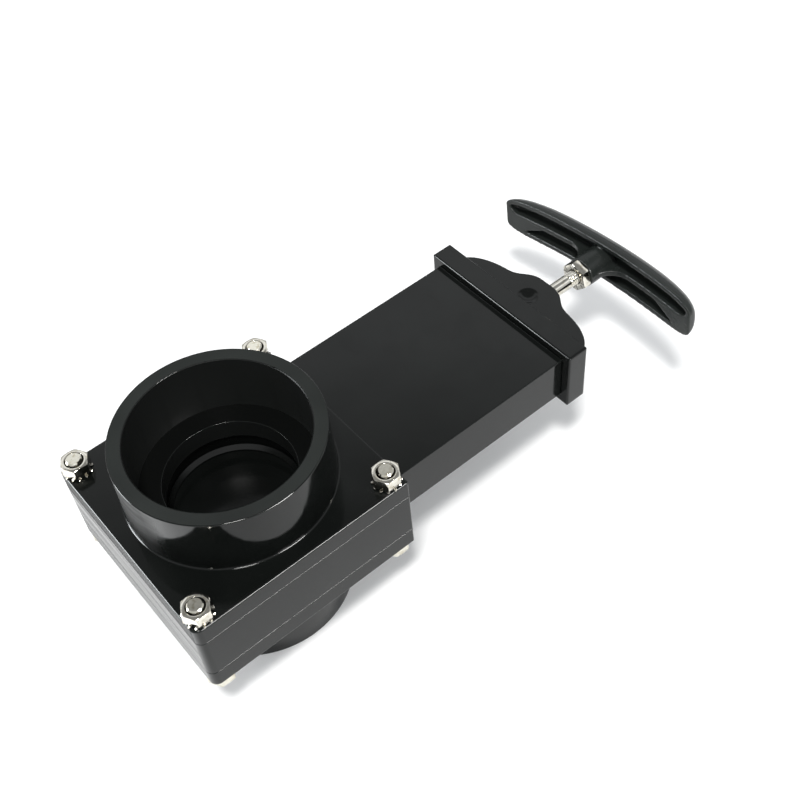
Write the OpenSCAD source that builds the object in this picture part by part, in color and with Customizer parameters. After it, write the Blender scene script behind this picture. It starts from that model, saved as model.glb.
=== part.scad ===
// RV waste valve: a hand-pulled slide gate between two pipe sockets.
// Millimetres. Origin: centre of the lower socket's mouth. +Z runs up the pipe, +X towards the handle.

/* [Pipe sockets] */
// outside diameter of the pipe that is glued in
pipe_d = 88.9; // [60:0.1:110]
// gap between pipe and socket wall, on the radius
socket_gap = 0.15; // [0.1:0.05:0.5]
// wall of the socket at its rim
hub_wall = 7.3; // [4:0.1:9]
// height of a socket above its clamping plate
hub_h = 34.1; // [20:0.1:60]
// how much the outside of a socket widens towards its plate
hub_draft = 0.5; // [0:0.1:1.5]
// rounding where a socket meets its plate
hub_fillet = 1.2; // [0.5:0.1:4]
// small bevel on the two rim edges
rim_bevel = 0.3; // [0.2:0.1:1.5]
// radius of the flow opening
port_r = 33.3; // [20:0.1:40]

/* [Clamped stack] */
// side of the square plates and of the square valve body
plate_w = 122.6; // [115:0.1:160]
// thickness of each clamping plate
plate_t = 11.5; // [6:0.1:16]
// thickness of the square valve body
body_t = 27.8; // [24:0.1:40]
// rounding of the two upright corners away from the housing
corner_r = 4.5; // [1:0.1:5]
// rounding of the two upright corners on the housing's side
near_corner_r = 1.2; // [0.5:0.1:5]
// distance from a clamp bolt to the two edges of the plate next to it
bolt_edge = 7.45; // [6:0.05:7.7]

/* [Clamp bolts] */
// thread diameter of the clamp bolts
thread_d = 8; // [5:0.5:8]
// how far a clamp bolt stands out of its nut
bolt_end = 1.4; // [0.9:0.1:8]
// gap between a bolt and its hole, on the radius
bolt_gap = 0.3; // [0.15:0.05:0.5]
// thickness of a bolt head
bolt_head_t = 5.3; // [3:0.1:7]
// width across the flats of the clamp nuts and bolt heads
nut_flats = 13; // [10:0.5:13.5]
// thickness of a clamp nut
nut_t = 6.8; // [4:0.1:7]
// outside diameter of the toothed lock washer
washer_d = 15.4; // [14:0.1:17]
// thickness of the lock washer
washer_t = 1; // [0.6:0.1:1.4]
// number of teeth round the lock washer
washer_teeth = 12; // [8:1:16]
// length of a washer tooth
tooth_l = 1.6; // [0.8:0.1:2]
// width of a washer tooth
tooth_w = 1.8; // [1:0.1:2]
// size of the turned-off corners on nuts and bolt heads
hex_bevel = 0.5; // [0.2:0.1:1]

/* [Gate and seals] */
// thickness of the sliding blade
blade_t = 4.5; // [3:0.1:6]
// half the width of the blade, also the radius of its round end
blade_r = 45; // [44:0.1:45.2]
// distance from the flow axis to the straight rear edge of the blade
blade_back = 88; // [80:0.5:90]
// gap between the blade and each seal
seal_gap = 0.3; // [0.15:0.05:0.5]
// gap between the blade and the faces that guide it
guide_gap = 0.5; // [0.3:0.05:0.6]
// outside radius of a seal ring
seal_r = 42.5; // [40:0.1:43]
// inner radius of the lip that touches the blade
lip_r = 32.6; // [30:0.1:33]
// thickness of that lip at its edge
lip_t = 0.7; // [0.4:0.1:1.2]
// height the lip rises to where it meets the thick part of the ring
lip_rise = 2.6; // [1.5:0.1:4]

/* [Gate housing] */
// width of the long housing
housing_w = 97.6; // [96.5:0.1:110]
// thickness of the housing, top to bottom
housing_t = 27.8; // [24:0.1:27.8]
// side wall of the housing
side_wall = 3; // [2:0.1:3]
// top and bottom wall of the housing
flat_wall = 3.2; // [2:0.1:4]
// distance from the flow axis to the start of the hollow behind the seals
hollow_start = 52; // [48:0.5:56]

/* [End cap] */
// distance from the flow axis to the front face of the cap
cap_front = 175.5; // [174:0.5:190]
// thickness of the cap's flange
cap_t = 12.7; // [10:0.1:16]
// width of the cap's flange
cap_w = 108.8; // [104:0.1:120]
// height of the cap's flange
cap_h = 37.6; // [35:0.1:44]
// depth the housing goes into the cap
cap_grip = 8; // [4:0.5:9]
// gap round the housing inside the cap
cap_gap = 0.15; // [0.05:0.05:0.3]
// width of the bell-shaped nose where it leaves the flange
nose_w = 98.4; // [80:0.1:104]
// thickness of the nose, top to bottom
nose_h = 20; // [18:0.5:30]
// how far the shoulders of the nose stand behind the flange
shoulder_out = 17.2; // [12:0.1:24]
// how far its middle stands out from the shoulders, towards the handle
nose_out = 7.5; // [4:0.1:12]
// half the width of that middle
nose_half = 15.6; // [12:0.1:20]
// distance from the flange to the middle of the round dimple
dimple_at = 9.4; // [8:0.1:12]
// radius of the dimple
dimple_r = 5.7; // [4:0.1:6]
// depth of the dimple
dimple_depth = 1.7; // [1:0.1:4]

/* [Pull rod] */
// diameter of the rod
rod_d = 8.6; // [6:0.1:9]
// bare rod between the nose and the lock nut when the gate is shut
rod_show = 20.9; // [12:0.1:30]
// gap between the rod and the hole in the nose, on the radius
rod_gap = 0.25; // [0.1:0.05:0.4]
// width across the flats of the lock nut on the rod
lock_flats = 15.8; // [12:0.1:17]
// thickness of the lock nut
lock_t = 5.2; // [4:0.1:7]
// turn of the lock nut about the rod, in degrees
lock_turn = -15; // [-30:1:30]
// length of rod inside the handle
rod_grip = 16; // [8:0.5:20]
// half height of the block that joins rod and blade
coupling_h = 5.5; // [5:0.1:5.6]
// width of that block
coupling_w = 26; // [16:0.5:40]
// length of that block
coupling_l = 22; // [14:0.5:30]

/* [Handle] */
// length of the cross bar, tip to tip
handle_w = 144.5; // [110:0.1:180]
// height of the cross bar in the middle
handle_h = 26; // [24:0.1:32]
// depth of the cross bar in the middle
handle_d = 13.2; // [12:0.1:20]
// how far the tips sweep back towards the valve
handle_sweep = 5.9; // [0:0.1:12]
// height of the tips, as a share of the middle
tip_h_share = 0.53; // [0.45:0.01:0.9]
// depth of the tips, as a share of the middle
tip_d_share = 0.3; // [0.25:0.01:0.6]
// how squarely the bar keeps its height towards the tips
tip_h_power = 8.6; // [4:0.1:12]
// how squarely the bar keeps its depth towards the tips
tip_d_power = 4.2; // [3:0.1:8]
// radius of the boss the rod screws into
boss_r = 9; // [8:0.1:11]
// length of the boss in front of the cross bar
boss_len = 15.2; // [12:0.1:24]
// wall of the hollow cross bar
handle_wall = 3.3; // [2:0.1:4]
// thickness of the rib along the middle and of the upright fin
rib_t = 3.5; // [2:0.1:5]
// width of the upright fin where it leaves the boss
fin_root = 4.6; // [2:0.1:8]
// radius of the hollow curve where that rib runs out along the boss
rib_sweep_r = 13; // [6:0.5:14]
// rounding between the rib and the tips of the hollow
rib_end_r = 5; // [1:0.1:6]
// half the length of the lower hollow where it meets the rib
low_hollow_top = 44; // [30:0.5:50]
// half the length of the lower hollow along its bottom
low_hollow_end = 61; // [52:0.5:64]
// turn of the handle about the rod, in degrees
handle_roll = -4.3; // [-10:0.1:10]

/* [Hidden] */
fine = 96;
mid_z = hub_h + plate_t + body_t / 2;
socket_r = pipe_d / 2 + socket_gap;
hub_r = socket_r + hub_wall;
stack_half = body_t / 2 + plate_t;
bolt_at = plate_w / 2 - bolt_edge;
bolt_len = 2 * stack_half + washer_t + nut_t + bolt_end;
bolt_hole_r = thread_d / 2 + bolt_gap;
thread_gap = 0.1;
nut_hole_r = thread_d / 2 + thread_gap;
rod_hole_r = rod_d / 2 + thread_gap;
nut_corner_r = nut_flats / 2 / cos(30);
guide_half = blade_t / 2 + guide_gap;
guide_r = blade_r + guide_gap;
seal_face = blade_t / 2 + seal_gap;
seat_r = seal_r + seal_gap;
hollow_half_w = housing_w / 2 - side_wall;
hollow_half_h = housing_t / 2 - flat_wall;
housing_end = cap_front + cap_grip;
cap_back = cap_front + cap_t;
nose_end = cap_back + shoulder_out + nose_out;
rod_start = blade_back - coupling_l / 5 * 4;
nut_start = nose_end + rod_show;
boss_start = nut_start + lock_t + 0.2;
bar_front = boss_start + boss_len;
rod_end = boss_start + rod_grip;
black = [0.10, 0.10, 0.10];
steel = [0.75, 0.74, 0.70];
rubber = [0.06, 0.06, 0.06];

// places a child at each of the four clamp bolt positions, or at one of them
module at_bolt(n) {
    turn = [[-1, -1], [1, -1], [1, 1], [-1, 1]][n];
    translate([turn[0] * bolt_at, turn[1] * bolt_at, mid_z])
        children();
}

// a square slab with round upright corners, centred on the flow axis
module rounded_slab(side, thick) {
    far = side / 2 - corner_r;
    near = side / 2 - near_corner_r;
    translate([0, 0, -thick / 2])
        linear_extrude(thick) {
            translate([-far, -side / 2])
                square([far + near, side]);
            translate([-side / 2, -far])
                square([side / 2, 2 * far]);
            translate([0, -near])
                square([side / 2, 2 * near]);
            for (y = [-1, 1]) {
                translate([-far, y * far])
                    circle(r = corner_r, $fn = fine);
                translate([near, y * near])
                    circle(r = near_corner_r, $fn = fine);
            }
        }
}

// holes for all four clamp bolts
module bolt_holes(thick) {
    for (x = [-1, 1], y = [-1, 1])
        translate([x * bolt_at, y * bolt_at, -thick / 2 - 1])
            cylinder(r = bolt_hole_r, h = thick + 2, $fn = fine);
}

// one clamping plate with its pipe socket, plate underside at z = 0, socket upwards
module adapter() {
    rim = plate_t + hub_h;
    foot_r = hub_r + hub_draft;
    difference() {
        union() {
            translate([0, 0, plate_t / 2])
                rounded_slab(plate_w, plate_t);
            rotate_extrude($fn = fine)
                polygon(concat(
                    [[port_r, 0], [foot_r + hub_fillet, 0]],
                    [for (a = [0:15:90])
                        [foot_r + hub_fillet * (1 - sin(a)), plate_t + hub_fillet * (1 - cos(a))]],
                    [[hub_r, rim - rim_bevel], [hub_r - rim_bevel, rim], [port_r, rim]]));
        }
        translate([0, 0, -1])
            cylinder(r = port_r, h = plate_t + 2, $fn = fine);
        translate([0, 0, plate_t])
            cylinder(r = socket_r, h = hub_h + 1, $fn = fine);
        translate([0, 0, rim - rim_bevel])
            cylinder(r1 = socket_r, r2 = socket_r + 2 * rim_bevel, h = 2 * rim_bevel, $fn = fine);
        translate([0, 0, plate_t / 2])
            bolt_holes(plate_t);
    }
}

module upper_adapter() {
    color(black)
        translate([0, 0, mid_z + body_t / 2])
            adapter();
}

module lower_adapter() {
    color(black)
        translate([0, 0, mid_z - body_t / 2])
            mirror([0, 0, 1])
                adapter();
}

// square middle of the valve with the long gate housing moulded on
module valve_body() {
    color(black)
        translate([0, 0, mid_z])
            difference() {
                union() {
                    rounded_slab(plate_w, body_t);
                    translate([0, -housing_w / 2, -housing_t / 2])
                        cube([housing_end, housing_w, housing_t]);
                }
                cylinder(r = seat_r, h = body_t + 2, center = true, $fn = fine);
                cylinder(r = guide_r, h = 2 * guide_half, center = true, $fn = fine);
                translate([0, -guide_r, -guide_half])
                    cube([housing_end + 1, 2 * guide_r, 2 * guide_half]);
                translate([hollow_start, -hollow_half_w, -hollow_half_h])
                    cube([housing_end, 2 * hollow_half_w, 2 * hollow_half_h]);
                bolt_holes(body_t);
            }
}

// rubber ring between an adapter and the blade, lip at the bottom
module seal() {
    neck_r = port_r + 1.5;
    rotate_extrude($fn = fine)
        polygon([[lip_r, seal_face], [seal_r, seal_face], [seal_r, body_t / 2],
            [neck_r, body_t / 2], [neck_r, seal_face + lip_rise], [lip_r, seal_face + lip_t]]);
}

module upper_seal() {
    color(rubber)
        translate([0, 0, mid_z])
            seal();
}

module lower_seal() {
    color(rubber)
        translate([0, 0, mid_z])
            mirror([0, 0, 1])
                seal();
}

// how far the nose stands behind the flange at the distance y from the rod
function bell(y) =
    shoulder_out * sqrt(1 - pow(2 * abs(y) / nose_w, 3)) + nose_out * exp(-pow(abs(y) / nose_half, 4));

// flat bell-shaped nose in plan, its straight edge just inside the flange
module nose_plan() {
    steps = 36;
    polygon(concat(
        [[cap_back - 1, nose_w / 2], [cap_back - 1, -nose_w / 2]],
        [for (k = [-steps:steps])
            let (y = nose_w / 2 * sin(90 * k / steps))
            [cap_back + bell(y), y]]));
}

// shallow round hollow sunk into the plane z = 0
module dimple() {
    ball_r = (pow(dimple_r, 2) + pow(dimple_depth, 2)) / (2 * dimple_depth);
    open = asin(dimple_r / ball_r);
    rotate_extrude($fn = fine)
        polygon(concat([[0, 1], [dimple_r, 1]],
            [for (k = [6:-1:0])
                [ball_r * sin(open * k / 6), ball_r * (1 - cos(open * k / 6)) - dimple_depth]]));
}

// flange that closes the housing, with the nose that guides the rod
module end_cap() {
    pocket_w = housing_w + 2 * cap_gap;
    pocket_h = housing_t + 2 * cap_gap;
    color(black)
        translate([0, 0, mid_z])
            difference() {
                union() {
                    translate([cap_front, -cap_w / 2, -cap_h / 2])
                        cube([cap_t, cap_w, cap_h]);
                    translate([0, 0, -nose_h / 2])
                        linear_extrude(nose_h)
                            nose_plan();
                }
                translate([cap_front - 1, -pocket_w / 2, -pocket_h / 2])
                    cube([cap_grip + 1, pocket_w, pocket_h]);
                translate([cap_front, 0, 0])
                    rotate([0, 90, 0])
                        cylinder(r = rod_d / 2 + rod_gap, h = nose_end - cap_front + 1, $fn = fine);
                for (side = [0, 1])
                    mirror([0, 0, side])
                        translate([cap_back + dimple_at, 0, nose_h / 2])
                            dimple();
            }
}

// flat blade with a half-round front end
module gate_blade() {
    color(black)
        translate([0, 0, mid_z - blade_t / 2])
            difference() {
                union() {
                    cylinder(r = blade_r, h = blade_t, $fn = fine);
                    translate([0, -blade_r, 0])
                        cube([blade_back, 2 * blade_r, blade_t]);
                }
                translate([blade_back - coupling_l, -coupling_w / 2, -1])
                    cube([coupling_l + 1, coupling_w, blade_t + 2]);
            }
}

// block set into the rear of the blade that the rod screws into
module rod_coupling() {
    color(black)
        translate([blade_back - coupling_l, 0, mid_z])
            difference() {
                translate([0, -coupling_w / 2, -coupling_h])
                    cube([coupling_l, coupling_w, 2 * coupling_h]);
                translate([rod_start - blade_back + coupling_l, 0, 0])
                    rotate([0, 90, 0])
                        cylinder(r = rod_hole_r, h = coupling_l, $fn = fine);
            }
}

module pull_rod() {
    color(steel)
        translate([rod_start, 0, mid_z])
            rotate([0, 90, 0])
                cylinder(d = rod_d, h = rod_end - rod_start, $fn = fine);
}

// six-sided nut standing on z = 0, its corners taken off at both ends
module hex_nut(flats, tall, bore_r) {
    corner = flats / 2 / cos(30);
    difference() {
        intersection() {
            cylinder(r = corner, h = tall, $fn = 6);
            rotate_extrude($fn = fine)
                polygon([[0, 0], [flats / 2, 0], [corner, hex_bevel],
                    [corner, tall - hex_bevel], [flats / 2, tall], [0, tall]]);
        }
        translate([0, 0, -1])
            cylinder(r = bore_r, h = tall + 2, $fn = fine);
        translate([0, 0, tall - hex_bevel])
            cylinder(r1 = bore_r, r2 = bore_r + 2 * hex_bevel, h = 2 * hex_bevel, $fn = fine);
    }
}

module lock_nut() {
    color(steel)
        translate([nut_start + lock_t, 0, mid_z])
            rotate([lock_turn, 0, 0])
                rotate([0, -90, 0])
                    hex_nut(lock_flats, lock_t, rod_hole_r);
}

// closed skin over a row of rings that all have the same number of points
module skin(rings) {
    count = len(rings[0]);
    last = len(rings) - 1;
    polyhedron(
        points = [for (ring = rings) each ring],
        faces = concat(
            [[for (i = [0:count - 1]) i]],
            [for (k = [0:last - 1], i = [0:count - 1])
                [k * count + i, (k + 1) * count + i,
                    (k + 1) * count + (i + 1) % count, k * count + (i + 1) % count]],
            [[for (i = [0:count - 1]) last * count + count - 1 - i]]));
}

// how full the cross bar still is at the distance y from the rod, 1 in the middle and 0 at the tip
function fullness(y, power) = sqrt(max(0, 1 - pow(2 * abs(y) / handle_w, power)));
function bar_height(y) = handle_h * (tip_h_share + (1 - tip_h_share) * fullness(y, tip_h_power));
function bar_depth(y) = handle_d * (tip_d_share + (1 - tip_d_share) * fullness(y, tip_d_power));
function bar_front_at(y) = bar_front - handle_sweep * pow(2 * y / handle_w, 2);

// round back of the bar where it is cut at y, everything a skin of the given thickness inside it
function bar_ring(y, skin) =
    [for (i = [0:14])
        let (a = 90 - 180 * i / 14)
        [bar_front_at(y) + (bar_depth(y) - skin) * abs(cos(a)), y,
            (bar_height(y) / 2 - skin) * sign(sin(a)) * pow(abs(sin(a)), 0.8)]];

// the same, drawn out by the given length in front of the bar's open face
function hollow_ring(y, lead) =
    let (z = bar_height(y) / 2 - handle_wall, x = bar_front_at(y) - lead)
    concat([[x, y, z]], bar_ring(y, handle_wall), [[x, y, -z]]);

// middle rib seen from the front, rounded out into the tips of the hollow; the half below it is shorter
module rib_outline() {
    end = handle_w / 2 - handle_wall;
    low = handle_h / 2 - handle_wall;
    square([rib_t, handle_w - handle_wall], center = true);
    for (side = [0, 1])
        mirror([0, side]) {
            polygon([[0, low_hollow_top], [-rib_t / 2, low_hollow_top], [-low, low_hollow_end],
                [-handle_h / 2, low_hollow_end], [-handle_h / 2, handle_w], [0, handle_w]]);
            difference() {
                translate([-rib_t / 2 - rib_end_r, end - rib_end_r])
                    square([rib_t + 2 * rib_end_r, rib_end_r + handle_wall / 2]);
                for (x = [-1, 1])
                    translate([x * (rib_t / 2 + rib_end_r), end - rib_end_r])
                        circle(r = rib_end_r, $fn = fine);
            }
        }
}

// middle rib in plan: it runs out of the boss in a hollow curve on both sides
module rib_plan() {
    reach = boss_r + rib_sweep_r;
    back = bar_front + rib_t / 2;
    difference() {
        translate([boss_start, -reach])
            square([back - boss_start, 2 * reach]);
        for (side = [-1, 1])
            translate([bar_front_at(reach) - rib_sweep_r, side * reach])
                circle(r = rib_sweep_r, $fn = fine);
        for (side = [0, 1])
            mirror([0, side])
                translate([boss_start - 1, boss_r])
                    square([bar_front_at(reach) - rib_sweep_r - boss_start + 1, reach]);
    }
}

// boss for the rod, thinning into the upright fin that joins it to the bar
module boss() {
    rotate([0, 90, 0])
        cylinder(r = boss_r, h = boss_len + handle_d / 3, $fn = fine);
    fin_low = sqrt(pow(boss_r, 2) - pow(fin_root / 2, 2));
    hull() {
        translate([boss_len / 8, -fin_root / 2, -fin_low])
            cube([boss_len / 8, fin_root, 2 * fin_low]);
        translate([boss_len, -rib_t / 2, handle_wall / 2 - handle_h / 2])
            cube([rib_t / 4, rib_t, handle_h - handle_wall]);
    }
}

// hollow cross bar, open towards the valve, with a rib, a fin and the boss for the rod
module t_handle() {
    cuts = [for (k = [-14:14]) sin(90 * k / 14)];
    lead = handle_wall;
    color(black)
        translate([0, 0, mid_z])
            rotate([handle_roll, 0, 0])
                difference() {
                    union() {
                        difference() {
                            skin([for (c = cuts) bar_ring(handle_w / 2 * c, 0)]);
                            difference() {
                                skin([for (c = cuts) hollow_ring((handle_w / 2 - handle_wall) * c, lead)]);
                                translate([bar_front - handle_sweep - lead - 1, 0, 0])
                                    rotate([90, 0, 90])
                                        linear_extrude(handle_d + handle_sweep + lead + 1)
                                            rotate(90)
                                                rib_outline();
                                translate([bar_front, 0, 0])
                                    cube([2 * handle_d, rib_t, handle_h], center = true);
                            }
                        }
                        translate([0, 0, -rib_t / 2])
                            linear_extrude(rib_t)
                                rib_plan();
                        translate([boss_start, 0, 0])
                            boss();
                    }
                    translate([boss_start - 1, 0, 0])
                        rotate([0, 90, 0])
                            cylinder(r = rod_hole_r, h = rod_grip + 2, $fn = fine);
                }
}

// hexagon head bolt, head below the lower plate
module clamp_bolt() {
    point = hex_bevel + 0.3;
    shank = bolt_len - point;
    color(steel)
        translate([0, 0, -stack_half]) {
            translate([0, 0, -bolt_head_t])
                intersection() {
                    cylinder(r = nut_corner_r, h = bolt_head_t, $fn = 6);
                    rotate_extrude($fn = fine)
                        polygon([[0, 0], [nut_flats / 2, 0], [nut_corner_r, hex_bevel],
                            [nut_corner_r, bolt_head_t], [0, bolt_head_t]]);
                }
            rotate_extrude($fn = fine)
                polygon([[0, -bolt_head_t / 2], [thread_d / 2, -bolt_head_t / 2], [thread_d / 2, shank],
                    [thread_d / 2 - hex_bevel, shank + hex_bevel], [thread_d / 4, bolt_len], [0, bolt_len]]);
        }
}

module clamp_nut() {
    color(steel)
        translate([0, 0, stack_half + washer_t])
            hex_nut(nut_flats, nut_t, nut_hole_r);
}

// flat ring with square teeth round its edge
module lock_washer() {
    root_r = washer_d / 2 - tooth_l;
    color(steel)
        translate([0, 0, stack_half])
            difference() {
                union() {
                    cylinder(r = root_r, h = washer_t, $fn = fine);
                    for (i = [0:washer_teeth - 1])
                        rotate(i * 360 / washer_teeth)
                            translate([root_r - 1, -tooth_w / 2, 0])
                                cube([tooth_l + 1, tooth_w, washer_t]);
                }
                translate([0, 0, -1])
                    cylinder(r = thread_d / 2 + bolt_gap, h = washer_t + 2, $fn = fine);
            }
}

module clamp_bolt_1() { at_bolt(0) clamp_bolt(); }
module clamp_bolt_2() { at_bolt(1) clamp_bolt(); }
module clamp_bolt_3() { at_bolt(2) clamp_bolt(); }
module clamp_bolt_4() { at_bolt(3) clamp_bolt(); }
module clamp_nut_1() { at_bolt(0) clamp_nut(); }
module clamp_nut_2() { at_bolt(1) clamp_nut(); }
module clamp_nut_3() { at_bolt(2) clamp_nut(); }
module clamp_nut_4() { at_bolt(3) clamp_nut(); }
module lock_washer_1() { at_bolt(0) lock_washer(); }
module lock_washer_2() { at_bolt(1) lock_washer(); }
module lock_washer_3() { at_bolt(2) lock_washer(); }
module lock_washer_4() { at_bolt(3) lock_washer(); }

valve_body();
upper_adapter();
lower_adapter();
upper_seal();
lower_seal();
end_cap();
gate_blade();
rod_coupling();
pull_rod();
lock_nut();
t_handle();
clamp_bolt_1();
clamp_bolt_2();
clamp_bolt_3();
clamp_bolt_4();
clamp_nut_1();
clamp_nut_2();
clamp_nut_3();
clamp_nut_4();
lock_washer_1();
lock_washer_2();
lock_washer_3();
lock_washer_4();
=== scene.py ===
# %% [markdown]
# # A pull-handle slide gate valve, dressed for the camera
# The valve is two pipe sockets clamped on a square body, with a flat blade that a rod and a
# T-handle pull out through a long housing. The solids come ready made and true to size; this lesson
# gives them rounded edges, screw threads, moulded black plastic and bright steel, one small step a
# cell.

# %% Load the solids
import bpy
import math
from mathutils import Matrix, Quaternion, Vector


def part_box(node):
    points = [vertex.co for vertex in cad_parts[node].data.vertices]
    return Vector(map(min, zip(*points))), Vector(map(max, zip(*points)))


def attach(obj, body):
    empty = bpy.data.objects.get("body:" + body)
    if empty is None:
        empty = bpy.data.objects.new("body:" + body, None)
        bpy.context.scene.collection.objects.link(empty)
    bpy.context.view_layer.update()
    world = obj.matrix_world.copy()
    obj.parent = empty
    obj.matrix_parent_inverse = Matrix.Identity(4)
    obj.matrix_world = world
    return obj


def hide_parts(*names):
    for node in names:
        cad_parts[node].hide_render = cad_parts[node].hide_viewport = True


MM = 0.001
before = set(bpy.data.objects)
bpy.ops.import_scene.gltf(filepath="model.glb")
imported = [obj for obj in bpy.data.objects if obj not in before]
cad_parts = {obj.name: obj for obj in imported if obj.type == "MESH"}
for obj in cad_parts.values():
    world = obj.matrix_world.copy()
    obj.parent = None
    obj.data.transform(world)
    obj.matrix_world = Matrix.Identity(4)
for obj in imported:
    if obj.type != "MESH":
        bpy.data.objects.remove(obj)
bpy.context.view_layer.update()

# %% [markdown]
# ## The view
# The valve lies on the table and is seen from above its front left corner. A camera can be turned
# by three angles, but it is easier to place by its own spot, the point it looks at and how far it
# is tipped about its own line of sight, because each of the three can be changed alone.

# %% Camera
camera_spot = Vector((-0.12821, -0.33168, 0.54168))
camera_aim = Vector((0.13105, 0.03837, 0.00010))
camera_tip = math.radians(-6.06)

bpy.ops.object.camera_add(location=camera_spot)
camera = bpy.context.object
camera.name = "product_camera"
camera.data.sensor_width = 36
camera.data.lens = 53.33
look = (camera_aim - camera_spot).to_track_quat("-Z", "Y")
camera.rotation_euler = (look @ Quaternion((0, 0, 1), camera_tip)).to_euler()
bpy.context.scene.camera = camera
bpy.context.view_layer.update()
print("camera right:", [round(v, 4) for v in camera.matrix_world.col[0][:3]])

# %% [markdown]
# ## The room
# Black plastic shows almost no colour of its own: what the eye sees are mirror images of the
# surroundings. A room could be built of real walls, but a world that is shaded by height alone does
# the same and casts no corners. Its walls grow lighter upwards and its ceiling is dim, so a level
# face is light where it mirrors the walls and nearly black where it mirrors the ceiling.

# %% Room
UNDER_TABLE = 0.65
CEILING_FROM, CEILING = 0.83, 0.34
WALLS = ((0.50, 0.72), (0.69, 1.40), (0.735, 1.40), (0.765, 1.00))  # height (eye level 0.5), light

world = bpy.data.worlds.new("soft_room")
bpy.context.scene.world = world
world.use_nodes = True
room = world.node_tree.nodes["Background"]
room.inputs["Color"].default_value = (0.97, 0.985, 1.0, 1)
towards = world.node_tree.nodes.new("ShaderNodeTexCoord")
height = world.node_tree.nodes.new("ShaderNodeSeparateXYZ")
walls = world.node_tree.nodes.new("ShaderNodeValToRGB")
walls.color_ramp.interpolation = "EASE"
walls.color_ramp.elements[0].color = (UNDER_TABLE, UNDER_TABLE, UNDER_TABLE, 1)
walls.color_ramp.elements[1].position = CEILING_FROM
walls.color_ramp.elements[1].color = (CEILING, CEILING, CEILING, 1)
for rise, light in WALLS:
    walls.color_ramp.elements.new(rise).color = (light, light, light, 1)
world.node_tree.links.new(towards.outputs["Generated"], height.inputs["Vector"])
world.node_tree.links.new(height.outputs["Z"], walls.inputs["Fac"])
world.node_tree.links.new(walls.outputs["Color"], room.inputs["Strength"])
bpy.context.scene.view_settings.view_transform = "Standard"
print("heights in the room's shading:", len(walls.color_ramp.elements))

# %% [markdown]
# ## The lamps
# One soft box hangs high overhead and casts the shadows; it is far enough away to light the whole
# table evenly. A thin bright line runs along every rounded edge of the plates. More lamps over the
# table would draw it too, but they would also cast more shadows, so the two lamps that do it here
# are seen by mirror images alone and leave the table as it is.

# %% Soft boxes
def soft_box(name, spot, aim, size, power, colour, lights_table):
    """A rectangular area lamp that points from its spot at its aim and is itself never seen."""
    bpy.ops.object.light_add(type="AREA", location=spot)
    lamp = bpy.context.object
    lamp.name = name
    lamp.data.shape = "RECTANGLE"
    lamp.data.size, lamp.data.size_y = size
    lamp.data.energy = power
    lamp.data.color = colour
    lamp.visible_camera = False
    lamp.visible_diffuse = lights_table
    lamp.rotation_euler = (Vector(aim) - Vector(spot)).to_track_quat("-Z", "Y").to_euler()
    print(name, "at", spot, "power", power)


soft_box("overhead_box", spot=(-0.53, -0.72, 2.70), aim=(0.05, 0.0, 0.0), size=(0.50, 0.50),
         power=66.0, colour=(1.0, 0.99, 0.97), lights_table=True)
soft_box("front_strip", spot=(0.25, -1.08, 0.66), aim=(0.0, -0.05, 0.08), size=(0.5, 0.3),
         power=40.0, colour=(1.0, 0.99, 0.98), lights_table=False)
soft_box("left_strip", spot=(-0.92, 0.71, 0.48), aim=(0.0, 0.0, 0.08), size=(0.4, 0.6),
         power=30.0, colour=(0.94, 0.98, 1.0), lights_table=False)

# %% [markdown]
# ## The white table
# A white table that glows a little everywhere and much more in a round pool on the left. That pool
# is a painted pool of light in its emission, standing in for the bright spot a lamp on the left
# would throw on it. A lamp under a clear sheet would do the same, only slower. The pool is a round
# gradient with a flat top, drawn in the material, so no edge of it can show.

# %% Light table
TABLE_SIZE = 6
TABLE_DROP = 0.2 * MM  # keeps the table's top clear of the valve's lower rim
# The table's emission is a painted pool of light: an even low glow that rises to a bright spot on
# the left.
PAINTED_POOL_SPOT, PAINTED_POOL_REACH = (-0.150, -0.01, 0), (0.085, 0.14, 1)
GLOW_LOW, PAINTED_POOL_PEAK = 0.12, 1.20

bpy.ops.object.select_all(action="DESELECT")
bpy.ops.mesh.primitive_plane_add(size=TABLE_SIZE, location=(0, 0, -TABLE_DROP))
table = bpy.context.object
table.name = "white_table_painted_glow"
opal = bpy.data.materials.new("table_white_painted_pool")
opal.use_nodes = True
nodes, links = opal.node_tree.nodes, opal.node_tree.links
face = nodes["Principled BSDF"]
face.inputs["Base Color"].default_value = (0.86, 0.865, 0.87, 1)
face.inputs["Roughness"].default_value = 0.6
face.inputs["Emission Color"].default_value = (0.97, 0.99, 1.0, 1)
place = nodes.new("ShaderNodeTexCoord")
centre = nodes.new("ShaderNodeMapping")
centre.vector_type = "TEXTURE"
centre.inputs["Location"].default_value = PAINTED_POOL_SPOT
centre.inputs["Scale"].default_value = PAINTED_POOL_REACH
# The painted pool of light is a round gradient on the table's left that drives its emission.
glow = nodes.new("ShaderNodeTexGradient")
glow.gradient_type = "SPHERICAL"
plateau = nodes.new("ShaderNodeMapRange")
plateau.interpolation_type = "SMOOTHSTEP"
plateau.inputs["From Max"].default_value = 0.55
plateau.inputs["To Min"].default_value = GLOW_LOW
plateau.inputs["To Max"].default_value = PAINTED_POOL_PEAK
links.new(place.outputs["Object"], centre.inputs["Vector"])
links.new(centre.outputs["Vector"], glow.inputs["Vector"])
links.new(glow.outputs["Fac"], plateau.inputs["Value"])
links.new(plateau.outputs["Result"], face.inputs["Emission Strength"])
table.data.materials.append(opal)
print("table:", TABLE_SIZE, "m square, glow from", GLOW_LOW, "to", PAINTED_POOL_PEAK)

# %% [markdown]
# ## Tools for finishes
# Every finish here is a few grey noise patterns that drive the colour, the roughness and the
# relief. Painted images could do that too, but a pattern worked out from the place of each point
# has no seam and stays sharp from near by. These small helpers each wire up one step of that.

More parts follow.
